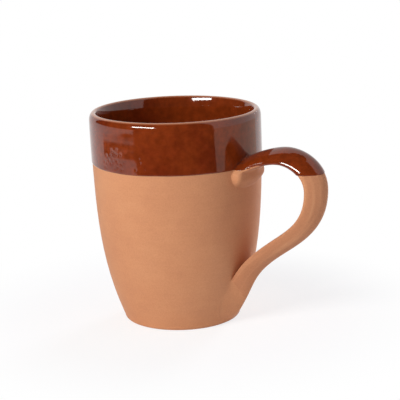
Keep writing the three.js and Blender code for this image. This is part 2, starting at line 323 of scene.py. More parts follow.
class CupWall:
    """Outside and inside of the clay wall, worked out from the sizes of the cup."""

    lip_steps_outside = 18
    lip_steps_inside = 12
    oval_share = 0.7  # shares of the unevenness
    lobe_share = 0.45
    ring_share = 0.12
    even_foot = 8 * MM  # the wall is even at the foot and grows uneven over this height
    even_lip = 0.6  # how much of the unevenness the lip loses
    lean_from = 0.65  # share of the height above which the rim leans

    def __init__(self, cup):
        self.cup = cup
        self.lip_base = cup.height - cup.lip_rise
        self.crest_radius = cup.rim_radius - cup.lip_outer
        self.bevel_top = cup.height - cup.lip_inner * (1 - math.sin(cup.bevel_tilt))
        self.thinning = cup.wall - cup.lip_outer - cup.lip_inner * math.cos(cup.bevel_tilt)
        self.bevel = 2 * self.thinning / math.tan(cup.bevel_tilt)
        foot = np.array((cup.base_radius, 0))
        rim = np.array((cup.rim_radius, self.lip_base))
        line = bezier(
            foot,
            foot + heading(math.pi / 2 - cup.foot_flare, cup.foot_pull),
            rim - heading(math.pi / 2, cup.rim_pull),
            rim,
        )
        self.radii, self.heights = line.T

    def outside(self, height):
        return np.interp(height, self.heights, self.radii)

    def inside(self, height):
        """The inside up to the lip's round, where the wall thins."""
        share = np.clip(1 - (self.bevel_top - height) / self.bevel, 0, 1)
        return self.outside(height) - self.cup.wall + self.thinning * share**2

    def inner_rings(self, heights, grown=0.0):
        """Radii and heights of the inside, grown by a coat."""
        slope = np.gradient(self.inside(heights), heights)
        size = np.hypot(1, slope)
        return self.inside(heights) - grown / size, heights + grown * slope / size

    def lip_rings(self, grown=0.0):
        """Radii and heights over the lip from the outside to the inside, grown by a coat."""
        cup = self.cup
        outer = np.linspace(0, math.pi / 2, self.lip_steps_outside + 1)[1:]
        inner = np.linspace(math.pi / 2, math.pi - cup.bevel_tilt, self.lip_steps_inside + 1)[1:]
        off_crest = np.concatenate((cup.lip_outer * np.cos(outer), cup.lip_inner * np.cos(inner)))
        off_top = np.concatenate((cup.lip_rise * (np.sin(outer) - 1), cup.lip_inner * (np.sin(inner) - 1)))
        across = np.concatenate((np.cos(outer) / cup.lip_outer, np.cos(inner)))
        upward = np.concatenate((np.sin(outer) / cup.lip_rise, np.sin(inner)))
        size = np.hypot(across, upward)
        radii = self.crest_radius + off_crest + grown * across / size
        heights = cup.height + off_top + grown * upward / size
        return radii, heights

    def floor_rings(self, fillet_steps, flat_steps):
        """Radii and heights down the floor's fillet and across to the middle of the floor."""
        cup = self.cup
        top_height = cup.floor + cup.floor_fillet
        top = np.array((self.inside(top_height), top_height))
        corner = np.array((self.inside(cup.floor), cup.floor))
        end = corner - (cup.floor_fillet, 0)
        share = np.linspace(0, 1, fillet_steps + 1)[1:, None]
        fillet = (1 - share) ** 2 * top + 2 * share * (1 - share) * corner + share**2 * end
        flat = np.linspace(end[0], 0, flat_steps + 1)[1:]
        radii = np.concatenate((fillet[:, 0], flat))
        heights = np.concatenate((fillet[:, 1], np.full_like(flat, cup.floor)))
        return radii, heights

    def uneven(self, turn, height):
        """How far the hand-thrown wall strays from round."""
        cup = self.cup
        share = height / cup.height
        oval = self.oval_share * np.sin(2 * turn + 0.8) * share
        lobes = self.lobe_share * np.sin(3 * turn - 5 * share)
        rings = self.ring_share * np.sin(2 * math.pi * height / cup.ring_pitch + turn)
        fade = smoothstep(height, 0, self.even_foot) * (1 - self.even_lip * smoothstep(share, 0.7, 1))
        lean = cup.lean * np.cos(turn - cup.lean_turn) * smoothstep(share, self.lean_from, 1)
        return cup.unevenness * (oval + lobes + rings) * fade + lean

    def point(self, turn, height, proud):
        """Points that stand proud of the outside of the wall."""
        radius = self.outside(height) + self.uneven(turn, height) + proud
        return np.stack((radius * np.cos(turn), radius * np.sin(turn), height), axis=-1)


class Strap:
    """The handle's strap: a rounded section along a bent middle line in the plane of the handle."""

    pull_mark = 0.018  # share by which the marks of pulling swell the strap
    pull_pitch = 7.5 * MM
    pull_start = 0.6
    full_at = 2.5  # where the strap has grown to its thickness, in lengths of the root's blend
    sharpens_from = 1.4  # where the section sharpens, in lengths of the tail's blend before the end
    sharp_from = 0.4
    end_share = 0.02  # the rounding stops at this share of its reach, so the end isn't a point

    def __init__(self, wall, handle):
        self.wall = wall
        self.handle = handle
        root_height = wall.cup.height - handle.root_drop
        face = wall.outside(root_height)
        root = np.array((face - handle.root_sink, root_height))
        crest = np.array((face + handle.crest_standoff, handle_high.z - handle.crest_sink))
        elbow = np.array((handle_high.x - handle.elbow_sink, crest[1] - handle.elbow_drop))
        tail = np.array((wall.outside(handle.tail_height) + handle.tail_lift, handle.tail_height))
        upright = math.pi / 2
        stretches = (
            bezier(root, root + heading(handle.root_rise, handle.root_pull),
                   crest - heading(0, handle.crest_pull), crest),
            bezier(crest, crest + heading(0, handle.crest_pull),
                   elbow + heading(upright, handle.elbow_pull_up), elbow),
            bezier(elbow, elbow - heading(upright, handle.elbow_pull_down),
                   tail + heading(handle.tail_angle, handle.tail_pull), tail),
        )
        line = np.vstack((stretches[0], stretches[1][1:], stretches[2][1:]))
        run = np.concatenate(((0,), np.cumsum(np.hypot(*np.diff(line, axis=0).T))))
        self.length = run[-1]
        self.runs = np.linspace(0, self.length, STRAP_RINGS)
        self.middle = read_off(self.runs, run, line)
        along = np.gradient(self.middle, self.runs, axis=0)
        self.along = along / np.linalg.norm(along, axis=1)[:, None]

    def half_sizes(self, run):
        """Half the width and half the thickness of the strap along its length."""
        handle = self.handle
        root = 1 - smoothstep(run, 0, handle.root_blend)
        tail = smoothstep(run, self.length - handle.tail_blend, self.length)
        width = handle.width + (handle.root_width - handle.width) * root
        width = width + (handle.tail_width - handle.width) * tail
        thickness = handle.thickness + (handle.root_thickness - handle.thickness) * root
        thickness = thickness + (handle.tail_thickness - handle.thickness) * tail
        pulled = 1 + self.pull_mark * np.sin(run / self.pull_pitch + self.pull_start) * (1 - root)
        thicker = 1 + handle.growth * smoothstep(run, handle.root_blend, self.full_at * handle.root_blend)
        half_width = width / 2 * pulled * self.left_by_rounding(run, handle.tip)
        half_thickness = thickness / 2 / pulled * self.left_by_rounding(run, handle.run_out) * thicker
        return half_width, half_thickness

    def left_by_rounding(self, run, reach):
        """Share of a size that is left where the end of the tail is rounded over a reach."""
        return quarter_round(np.clip((self.length - run) / reach, self.end_share, 1))

    def squareness(self, run):
        """Shape of the section, which is sharper at the tail."""
        handle = self.handle
        start = self.length - self.sharpens_from * handle.tail_blend
        end = self.length - self.sharp_from * handle.tail_blend
        return handle.squareness + (handle.tail_squareness - handle.squareness) * smoothstep(run, start, end)

    def fuller(self, outward):
        """The section swells further outside than inside."""
        return 1 + self.handle.fullness * np.sign(outward)

    def surface(self, runs):
        """Rings of points round the strap at the given distances along it."""
        middle = read_off(runs, self.runs, self.middle)
        along = read_off(runs, self.runs, self.along)
        half_width, half_thickness = self.half_sizes(runs)
        round_trip = all_round(STRAP_SIDES)
        power = 2 / self.squareness(runs)[:, None]
        crown = self.handle.crown
        beside = np.abs(np.cos(round_trip)) ** power * (math.hypot(1, crown) - crown) + crown
        across = np.sign(np.cos(round_trip)) * np.sqrt(np.maximum(beside**2 - crown**2, 0))
        outward = np.sign(np.sin(round_trip)) * np.abs(np.sin(round_trip)) ** power
        across = across * half_width[:, None]
        outward = outward * self.fuller(outward) * half_thickness[:, None]
        x = middle[:, :1] - along[:, 1:] * outward
        z = middle[:, 1:] + along[:, :1] * outward
        radius = np.hypot(x, across)
        least = self.wall.outside(z) - self.handle.root_depth
        scale = np.maximum(1, least / radius)
        return np.stack((x * scale, across * scale, z), axis=-1)

    def gap(self, points):
        """Distance from points to the strap's surface, negative inside it."""
        flat = points.reshape(-1, 3)
        gaps = np.empty(len(flat))
        crown = self.handle.crown
        for first in range(0, len(flat), POINTS_AT_A_TIME):
            some = flat[first:first + POINTS_AT_A_TIME]
            dx = some[:, 0, None] - self.middle[None, :, 0]
            dz = some[:, 2, None] - self.middle[None, :, 1]
            nearest = np.argmin(dx * dx + dz * dz, axis=1)
            rows = np.arange(len(some))
            off_x, off_z = dx[rows, nearest], dz[rows, nearest]
            along = self.along[nearest]
            outward = -along[:, 1] * off_x + along[:, 0] * off_z
            beyond = np.abs(along[:, 0] * off_x + along[:, 1] * off_z)
            run = self.runs[nearest]
            half_width, half_thickness = self.half_sizes(run)
            half_thickness = half_thickness * self.fuller(outward)
            across = some[:, 1]
            power = self.squareness(run)
            beside = (np.hypot(across / half_width, crown) - crown) / (math.hypot(1, crown) - crown)
            share = beside**power + np.abs(outward / half_thickness) ** power
            share = np.maximum(share, TINY) ** (1 / power)
            gap = np.hypot(across, outward) * (1 - 1 / share)
            gaps[first:first + POINTS_AT_A_TIME] = np.where(gap > 0, np.hypot(gap, beyond), gap)
        return gaps.reshape(points.shape[:-1])


# Waves of the dip's edge, each with its share, its number round the mug and its start
EDGE_WAVES = ((0.6, 2, 1.1), (0.5, 5, 0.3), (0.35, 11, 2))
# Distances from the wall over which the dip's edge climbs along the root, and comes down again
CLIMB = (1.5 * MM, 12 * MM)
DESCENT = (17 * MM, 25 * MM)
# The bead above the dip's edge: a share of the coat, with its middle and spread in heights of the edge
BEAD = 0.03
BEAD_MIDDLE = 1.1
BEAD_SPREAD = 0.8
SWELL_HEIGHT = 15 * MM
SWELL_SHARE = 0.5


def glaze_line(glaze, turn):
    """Height of the dip's slightly wavering edge round the mug."""
    waver = sum(share * np.sin(count * turn + start) for share, count, start in EDGE_WAVES)
    return glaze.line + glaze.waver * waver


def root_climb(glaze, wall, x):
    """How far the dip's edge climbs along the root, at a distance from the axis."""
    standoff = x - wall.outside(glaze.line)
    return glaze.root_climb * (smoothstep(standoff, *CLIMB) * (1 - smoothstep(standoff, *DESCENT)))


def coat(glaze, rise):
    """Thickness of the coat at a height above its rounded edge."""
    edges = rise / glaze.edge
    bead = 1 + BEAD * np.exp(-((edges - BEAD_MIDDLE) / BEAD_SPREAD) ** 2)
    return glaze.thickness * quarter_round(np.clip(edges, 0, 1)) * bead


def coat_waves(glaze, turn, height):
    """Slow swells of the coat, which bend what it mirrors."""
    up = height / SWELL_HEIGHT
    crossed = np.sin(9 * turn + 0.9 * up) * np.sin(1.7 * up + 2 * turn)
    slanted = 0.6 * np.sin(17 * turn - 1.3 * up + 1)
    return glaze.unevenness * SWELL_SHARE * (crossed + slanted)


def pitted(glaze, turn, height, pits):
    """Depth of small pits at places that are given as turns and heights."""
    depth = np.zeros(np.broadcast(turn, height).shape)
    for pit_turn, pit_height, size in pits:
        across = (turn - pit_turn) * cup_high.x
        share = (across**2 + (height - pit_height) ** 2) / (glaze.pit_radius * size) ** 2
        depth += glaze.pit_depth * size * np.exp(-2 * share)
    return depth


# Making pieces out of grids

def closed_shell(front, back, faces):
    """Points and faces of a sheet and its back, closed along the edges."""
    count = len(front)
    edges = {(face[i - 1], face[i]) for face in faces for i in range(len(face))}
    sides = [(a, b, b + count, a + count) for a, b in sorted(edges) if (b, a) not in edges]
    backs = [tuple(corner + count for corner in reversed(face)) for face in faces]
    return np.vstack((front, back)), faces + backs + sides


def add_piece(context, name, points, faces, finishes, node, face_finishes=None, fibre=None):
    """Makes a smooth closed piece that rides on the mug and stands for a node of the frame."""
    mesh = bpy.data.meshes.new(name)
    mesh.from_pydata(points.reshape(-1, 3).tolist(), [], faces)
    if fibre is not None:
        mesh.attributes.new("fibre", "FLOAT_VECTOR", "POINT").data.foreach_set("vector", fibre.ravel())
    for finish in finishes:
        mesh.materials.append(finish_named(context, finish))
    if face_finishes is not None:
        mesh.polygons.foreach_set("material_index", face_finishes)
    work = bmesh.new()
    work.from_mesh(mesh)
    bmesh.ops.remove_doubles(work, verts=work.verts, dist=SAME_POINT)
    bmesh.ops.dissolve_degenerate(work, edges=work.edges, dist=SAME_POINT)
    bmesh.ops.recalc_face_normals(work, faces=work.faces)
    work.to_mesh(mesh)
    work.free()
    mesh.shade_smooth()
    mesh.set_sharp_from_angle(angle=SHARP_CORNER)
    piece = bpy.data.objects.new(name, mesh)
    context.scene.collection.objects.link(piece)
    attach(piece, "root")
    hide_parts(node)


def turned_points(radii, heights, turns):
    """Points of a turned form; radii and heights have a row for each ring."""
    radii, heights, turns = np.broadcast_arrays(radii, heights, turns[None, :])
    return np.stack((radii * np.cos(turns), radii * np.sin(turns), heights), axis=-1)


# Finishes

def set_inputs(tree, node, inputs):
    """Sets a node's inputs, each to a value or to another node's output."""
    for name, value in inputs.items():
        if isinstance(value, bpy.types.NodeSocket):
            tree.links.new(value, node.inputs[name])
        else:
            node.inputs[name].default_value = value


def add_node(tree, kind, inputs=None, **settings):
    made = tree.nodes.new(kind)
    for name, value in settings.items():
        setattr(made, name, value)
    set_inputs(tree, made, inputs or {})
    return made


def noise(tree, place, scale, detail, roughness=0.55):
    inputs = {"Vector": place, "Scale": scale, "Detail": detail, "Roughness": roughness}
    return add_node(tree, "ShaderNodeTexNoise", inputs).outputs["Fac"]


def ramp(tree, factor, positions, values):
    """Colours or greys along a factor, each at its position."""
    made = add_node(tree, "ShaderNodeValToRGB", {"Fac": factor})
    elements = made.color_ramp.elements
    while len(elements) < len(positions):
        elements.new(1.0)
    for element, position, value in zip(elements, positions, values):
        element.position = position
        element.color = (*value, 1) if hasattr(value, "__len__") else (value, value, value, 1)
    return made.outputs["Color"]


def mixed(tree, factor, first, second, blend="MIX"):
    inputs = {"Fac": factor, "Color1": first, "Color2": second}
    return add_node(tree, "ShaderNodeMixRGB", inputs, blend_type=blend).outputs["Color"]


def calculated(tree, operation, first, second):
    return add_node(tree, "ShaderNodeMath", {0: first, 1: second}, operation=operation).outputs["Value"]


def eased(tree, value, low, high):
    """0 up to one value and 1 from another, with a smooth rise between them."""
    inputs = {"Value": value, "From Min": low, "From Max": high}
    made = add_node(tree, "ShaderNodeMapRange", inputs, interpolation_type="SMOOTHSTEP")
    return made.outputs["Result"]


def bumped(tree, height, depth, below=None):
    """A bump of a real depth in metres, laid over another one."""
    inputs = {"Height": height, "Distance": depth, "Strength": 1.0}
    if below is not None:
        inputs["Normal"] = below
    return add_node(tree, "ShaderNodeBump", inputs).outputs["Normal"]


def glow(tree, shade, strength=1.0):
    return add_node(tree, "ShaderNodeEmission", {"Color": shade, "Strength": strength}).outputs["Emission"]


def either_shader(tree, factor, first, second):
    return add_node(tree, "ShaderNodeMixShader", {"Fac": factor, 1: first, 2: second}).outputs["Shader"]


def emptied(owner):
    """The node tree of a material or a world, without the nodes it starts with."""
    owner.use_nodes = True
    owner.node_tree.nodes.clear()
    return owner.node_tree


def new_finish(name):
    """A material with its node tree, its shader and the place on the mug."""
    finish = bpy.data.materials.new(name)
    finish.use_nodes = True
    tree = finish.node_tree
    place = add_node(tree, "ShaderNodeTexCoord").outputs["Object"]
    return finish, tree, tree.nodes["Principled BSDF"], place


def fired_clay(colours, pulled):
    """Matte terracotta with patches, sandy grain and streaks round the cup, or along a pulled strap."""
    finish, tree, shader, place = new_finish("pulled_clay" if pulled else "fired_clay")
    if pulled:
        lines = add_node(tree, "ShaderNodeAttribute", attribute_name="fibre").outputs["Vector"]
        stretch = (0.7, 17.0, 17.0)
        streaking = 0.7
        streak_tones = (0.48, 0.62, 0.72)
        streak_depth = 0.14 * MM
    else:
        lines = place
        stretch = (1.0, 1.0, 14.0)
        streaking = 0.12
        streak_tones = (0.3, 0.5, 0.7)
        streak_depth = 0.03 * MM
    grain_depth = 0.025 * MM
    pit_depth = 0.02 * MM
    flattened = add_node(tree, "ShaderNodeMapping", {"Vector": lines, "Scale": stretch}).outputs["Vector"]
    clouds = noise(tree, place, scale=26.0, detail=4.0, roughness=0.6)
    patches = noise(tree, place, scale=130.0, detail=4.0, roughness=0.6)
    streaks = noise(tree, flattened, scale=30.0, detail=4.0, roughness=0.6)
    grain = noise(tree, place, scale=1500.0, detail=2.0)
    pits = add_node(tree, "ShaderNodeTexVoronoi", {"Vector": place, "Scale": 620.0}).outputs["Distance"]
    tones = (colours.clay_dark[:], colours.clay[:], colours.clay_pale[:])
    base = ramp(tree, clouds, (0.2, 0.5, 0.85), tones)
    base = mixed(tree, 0.3, base, ramp(tree, patches, (0.25, 0.5, 0.75), tones))
    base = mixed(tree, streaking, base, ramp(tree, streaks, streak_tones, tones))
    base = mixed(tree, 0.35, base, ramp(tree, grain, (0.3, 0.5, 0.7), (0.4, 0.5, 0.58)), "OVERLAY")
    normal = bumped(tree, streaks, streak_depth)
    normal = bumped(tree, grain, grain_depth, normal)
    normal = bumped(tree, ramp(tree, pits, (0.0, 0.16), (0.0, 1.0)), pit_depth, normal)
    set_inputs(tree, shader, {
        "Base Color": base,
        "Roughness": ramp(tree, patches, (0.3, 0.7), (0.78, 0.95)),
        "Specular IOR Level": 0.4,
        "Sheen Weight": 0.15,
        "Sheen Roughness": 0.35,
        "Normal": normal,
    })
    return finish


def brown_glaze(colours, lip_height):
    """Glossy coat that is paler where it thins over the lip and darker where it gathers."""
    finish, tree, shader, place = new_finish("brown_glaze")
    lip_band = 0.9 * MM
    lip_show = 0.85
    wave_depth = 0.018 * MM
    skin_depth = 0.002 * MM
    clouds = noise(tree, place, scale=45.0, detail=4.0, roughness=0.55)
    mottle = noise(tree, place, scale=260.0, detail=3.0, roughness=0.6)
    waves = noise(tree, place, scale=75.0, detail=1.0, roughness=0.4)
    skin = noise(tree, place, scale=420.0, detail=2.0, roughness=0.5)
    height = add_node(tree, "ShaderNodeSeparateXYZ", {"Vector": place}).outputs["Z"]
    on_lip = eased(tree, height, lip_height - lip_band, lip_height)
    base = ramp(tree, clouds, (0.32, 0.52), (colours.glaze_deep[:], colours.glaze[:]))
    base = mixed(tree, 0.6, base, ramp(tree, mottle, (0.35, 0.5, 0.68), (0.38, 0.5, 0.62)), "OVERLAY")
    base = mixed(tree, 0.4, base, ramp(tree, skin, (0.35, 0.5, 0.65), (0.4, 0.5, 0.6)), "OVERLAY")
    base = mixed(tree, calculated(tree, "MULTIPLY", on_lip, lip_show), base, (*colours.glaze_thin, 1))
    set_inputs(tree, shader, {
        "Base Color": base,
        "Roughness": ramp(tree, mottle, (0.3, 0.7), (0.05, 0.09)),
        "IOR": 1.52,
        "Normal": bumped(tree, skin, skin_depth, bumped(tree, waves, wave_depth)),
    })
    return finish


def finish_named(context, name):
    """The clay or the glaze, made once for all the pieces that share it."""
    made = bpy.data.materials.get(name)
    if made is not None:
        return made
    if name in ("fired_clay", "pulled_clay"):
        return fired_clay(context.scene.mug_colours, name == "pulled_clay")
    return brown_glaze(context.scene.mug_colours, dip_high.z)


# Operators

class MUG_OT_throw_cup(Operator):
    """Throw the cup of clay: foot, wall, lip, inside and floor in one piece"""

    bl_idname = "mug.throw_cup"
    bl_label = "Throw the cup"

    outer_step = 1.1 * MM
    inner_step = 1.2 * MM
    rounding_steps = 6

    def execute(self, context):
        cup = context.scene.mug_cup
        wall = CupWall(cup)
        rounding = np.linspace(0, math.pi / 2, self.rounding_steps)
        foot_radii = wall.outside(cup.foot_rounding) - cup.foot_rounding * (1 - np.sin(rounding))
        foot_heights = cup.foot_rounding * (1 - np.cos(rounding))
        base_radii = np.linspace(0, foot_radii[0], self.rounding_steps)[:-1]
        wall_heights = even_steps(cup.foot_rounding, wall.lip_base, self.outer_step)[1:]
        inner_heights = even_steps(wall.bevel_top, cup.floor + cup.floor_fillet, self.inner_step)[1:]
        rings = (
            (base_radii, np.zeros_like(base_radii)),
            (foot_radii, foot_heights),
            (wall.outside(wall_heights), wall_heights),
            wall.lip_rings(),
            (wall.inside(inner_heights), inner_heights),
            wall.floor_rings(fillet_steps=8, flat_steps=4),
        )
        radii, heights = (np.concatenate(parts)[:, None] for parts in zip(*rings))
        turns = all_round(CUP_COLUMNS)
        strays = wall.uneven(turns[None, :], heights)
        radii = radii + np.where(radii > cup.base_radius / 2, strays, 0)
        points = turned_points(radii, heights, turns)
        faces = grid_faces(len(heights), CUP_COLUMNS, wrap_columns=True)
        add_piece(context, "thrown_cup", points, faces, ["fired_clay"], "cup_body")
        return {"FINISHED"}


class MUG_OT_pull_handle(Operator):
    """Pull the strap of clay and bend it into the handle"""

    bl_idname = "mug.pull_handle"
    bl_label = "Pull the handle"

    ring_step = 0.6 * MM

    def execute(self, context):
        strap = Strap(CupWall(context.scene.mug_cup), context.scene.mug_handle)
        runs = even_steps(0, strap.length, self.ring_step)
        points = strap.surface(runs)
        faces = grid_faces(len(runs), STRAP_SIDES, wrap_columns=True)
        last = (len(runs) - 1) * STRAP_SIDES
        faces.append(tuple(range(STRAP_SIDES)))
        faces.append(tuple(range(last, last + STRAP_SIDES)))
        side = all_round(STRAP_SIDES)[None, :]
        girth = strap.handle.width / 3
        fibre = np.broadcast_arrays(runs[:, None], girth * np.cos(side), girth * np.sin(side))
        fibre = np.stack(fibre, axis=-1)
        add_piece(context, "pulled_handle", points, faces, ["pulled_clay"], "handle", fibre=fibre)
        return {"FINISHED"}


class MUG_OT_lute_joints(Operator):
    """Smooth the slip round the upper root and the tail into the wall"""

    bl_idname = "mug.lute_joints"
    bl_label = "Lute the joints"

    step = 0.12 * MM  # how far the search for the smoothed surface moves at a time
    most_steps = 60
    thinnest = 0.02 * MM  # no skin is made where it would be thinner
    sunk = 0.035 * MM  # the skin lies this much lower, so that its edge vanishes in the wall
    backing = 0.3 * MM  # depth of the skin's back inside the wall
    coat_rows = np.array((0.04, 0.12, 0.25, 0.42, 0.65, 0.9))  # up the coat's edge, in heights of it
    evening = np.array((1, 2, 3, 4, 3, 2, 1)) / 16  # evens out the dip's edge between columns
    pad_power = 2.6  # shape of the pad's lower outline, where 2 is round
    pad_low_loss = 0.7  # share of its thickness that the pad loses towards its lower end
    pad_high_loss = 0.3
    upper_half_width = 19 * MM
    upper_below = 12 * MM  # how far the skins reach past the frame's joints
    upper_above = 8 * MM
    lower_half_width = 16 * MM
    lower_above = 6 * MM
    lower_start = 0.8 * MM
    lower_foot = 4.5 * MM  # height over which the lower skin thins to nothing at the foot
    crook_end = 4 * MM  # the smoothing grows between these distances below the lower joint's top
    run_out_start = 19 * MM

    def standing(self, wall, strap, turn, height, base, reach, pad):
        """How far the smoothed clay stands off the wall, found by stepping outwards from it."""
        stand = np.zeros_like(height)
        before = np.full_like(height, -1.0)
        left = strap.gap(wall.point(turn, height, base)) - base < reach
        if pad is not None:
            left |= pad(turn, height, np.zeros_like(height)) < reach
        for count in range(1, self.most_steps):
            trial = count * self.step
            gap = strap.gap(wall.point(turn[left], height[left], base[left] + trial)) - base[left]
            if pad is not None:
                gap = smooth_union(gap, pad(turn[left], height[left], trial), self.joints.under_root)
            blend = smooth_union(trial, gap, reach[left])
            share = np.where(before[left] < 0, before[left] / np.minimum(before[left] - blend, -TINY), 1)
            found = trial - self.step + share * self.step
            stand[left] = np.where(blend > 0, found, self.most_steps * self.step)
            before[left] = blend
            left[left] = blend <= 0
        return stand

    def dip_edge(self, wall, strap, glaze, turns, heights, reaches, pad):
        """Height of the dip's edge in each column, with its climb along the root."""
        height, turn = np.meshgrid(heights, turns, indexing="ij")
        bare = self.standing(wall, strap, turn, height, np.zeros_like(height), reaches(height), pad)
        climbed = root_climb(glaze, wall, wall.point(turn, height, bare)[..., 0])
        over = height - glaze_line(glaze, turns) - climbed
        first = np.argmax(over > 0, axis=0)
        columns = np.arange(len(turns))
        before, after = over[first - 1, columns], over[first, columns]
        edge = heights[first] - after / (after - before) * (heights[1] - heights[0])
        return np.convolve(np.pad(edge, len(self.evening) // 2, mode="edge"), self.evening, mode="valid")

    def smoothed(self, context, name, node, heights, half_width, reaches, pad=None, foot=None):
        """A skin on the wall that climbs the strap; reaches gives its smoothing at each height."""
        scene = context.scene
        glaze = scene.mug_glaze
        wall = CupWall(scene.mug_cup)
        strap = Strap(wall, scene.mug_handle)
        grain = self.joints.grain
        turns = even_steps(-half_width, half_width, grain) / wall.outside(heights.mean())
        line = glaze_line(glaze, turns)
        rises = heights - glaze.line
        if heights.max() > glaze.line:
            line = self.dip_edge(wall, strap, glaze, turns, heights, reaches, pad)
            below, above = rises[rises < -grain / 2], rises[rises > glaze.edge]
            rises = np.concatenate((below, (0,), glaze.edge * self.coat_rows, above))
        rise, turn = np.meshgrid(rises, turns, indexing="ij")
        height = line + rise
        base = np.where(rise > 0, coat(glaze, rise), 0)
        stand = self.standing(wall, strap, turn, height, base, reaches(height), pad)
        if foot is not None:
            stand *= quarter_round(np.clip((height - rises.min() - glaze.line) / foot, 0, 1))
        shown = stand > self.thinnest
        faces = [face for face in grid_faces(*height.shape) if shown.flat[list(face)].any()]
        finishes = [int(rise.flat[list(face)].mean() > 0) for face in faces]
        used = sorted({corner for face in faces for corner in face})
        index = {old: new for new, old in enumerate(used)}
        faces = [tuple(index[corner] for corner in face) for face in faces]
        front = wall.point(turn, height, base + (stand - self.sunk)).reshape(-1, 3)[used]
        back = wall.point(turn, height, -self.backing).reshape(-1, 3)[used]
        points, faces = closed_shell(front, back, faces)
        finishes += [0] * (len(faces) - len(finishes))
        add_piece(context, name, points, faces, ["fired_clay", "brown_glaze"], node, finishes)

    def execute(self, context):
        joints = self.joints = context.scene.mug_joints
        wall = CupWall(context.scene.mug_cup)
        upper_low, upper_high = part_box("upper_slip_joint")
        lower_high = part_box("lower_slip_joint")[1]

        def pressed_pad(turn, height, proud):
            """Distance to the pad under the upper root, which thins towards its ends and its far side."""
            across = turn * wall.outside(height) - joints.pad_aside
            rise = height - joints.pad_height
            half = joints.pad_width / 2
            power = self.pad_power
            beside = np.abs(across) / half
            below = np.maximum(-rise, 0) / joints.pad_reach
            above = np.maximum(rise, 0) / joints.pad_rise
            blunt = (beside**power + below**power) ** (1 / power)
            share = np.where(below > 0, blunt, np.hypot(beside, above))
            outline = np.hypot(across, rise) * (1 - 1 / np.maximum(share, TINY))
            low_loss = self.pad_low_loss * smoothstep(below, 0.1, 1)
            high_loss = self.pad_high_loss * smoothstep(above, 0.2, 1)
            far_loss = joints.pad_slope * smoothstep(across, 0, half)
            thinned = joints.pad_thickness * (1 - low_loss - high_loss) * (1 - far_loss)
            return -smooth_union(thinned - proud, -outline, joints.pad_edge)

        def upper_reach(height):
            return joints.crease * np.ones_like(height)

        def lower_reach(height):
            share = smoothstep(lower_high.z - height, self.crook_end, self.run_out_start)
            return joints.over_tail + (joints.under_tail - joints.over_tail) * share

        heights = even_steps(upper_low.z - self.upper_below, upper_high.z + self.upper_above, joints.grain)
        self.smoothed(
            context, "upper_luting", "upper_slip_joint",
            heights, self.upper_half_width, upper_reach, pad=pressed_pad,
        )
        heights = even_steps(self.lower_start, lower_high.z + self.lower_above, joints.grain)
        self.smoothed(
            context, "lower_luting", "lower_slip_joint",
            heights, self.lower_half_width, lower_reach, foot=self.lower_foot,
        )
        return {"FINISHED"}


class MUG_OT_pour_lining(Operator):
    """Pour the glaze that lines the inside of the cup"""

    bl_idname = "mug.pour_lining"
    bl_label = "Pour the lining"

    ring_step = 1.5 * MM
    pool_share = 0.8  # how far up the floor's fillet the pool reaches

    def execute(self, context):
        cup, glaze = context.scene.mug_cup, context.scene.mug_glaze
        wall = CupWall(cup)
        turns = all_round(CUP_COLUMNS)
        top = wall.bevel_top - glaze.seam_drop
        inner_heights = even_steps(top, cup.floor + cup.floor_fillet, self.ring_step)
        floor_radii, floor_heights = wall.floor_rings(fillet_steps=12, flat_steps=7)
        radii = np.concatenate((wall.inside(inner_heights), floor_radii))
        heights = np.concatenate((inner_heights, floor_heights))
        clay = np.stack((radii, heights), axis=-1)
        along = np.gradient(clay, axis=0)
        along /= np.linalg.norm(along, axis=1)[:, None]
        normal = np.stack((along[:, 1], -along[:, 0]), axis=-1)
        normal[-1] = (0, 1)
        pool_top = cup.floor + self.pool_share * cup.floor_fillet
        deep = glaze.thickness + glaze.pool * (1 - smoothstep(heights, cup.floor, pool_top))
        front = clay + normal * deep[:, None]
        back = (clay - normal * UNDER_CLAY)[::-1]
        front[-1, 0] = back[0, 0] = 0
        rings = np.vstack((front, back))
        strays = wall.uneven(turns[None, :], rings[:, 1:])
        ring_radii = rings[:, :1] + np.where(rings[:, :1] > 0, strays, 0)
        points = turned_points(ring_radii, rings[:, 1:], turns)
        faces = grid_faces(len(rings), CUP_COLUMNS, wrap_rows=True, wrap_columns=True)
        add_piece(context, "poured_lining", points, faces, ["brown_glaze"], "lining_glaze")
        return {"FINISHED"}


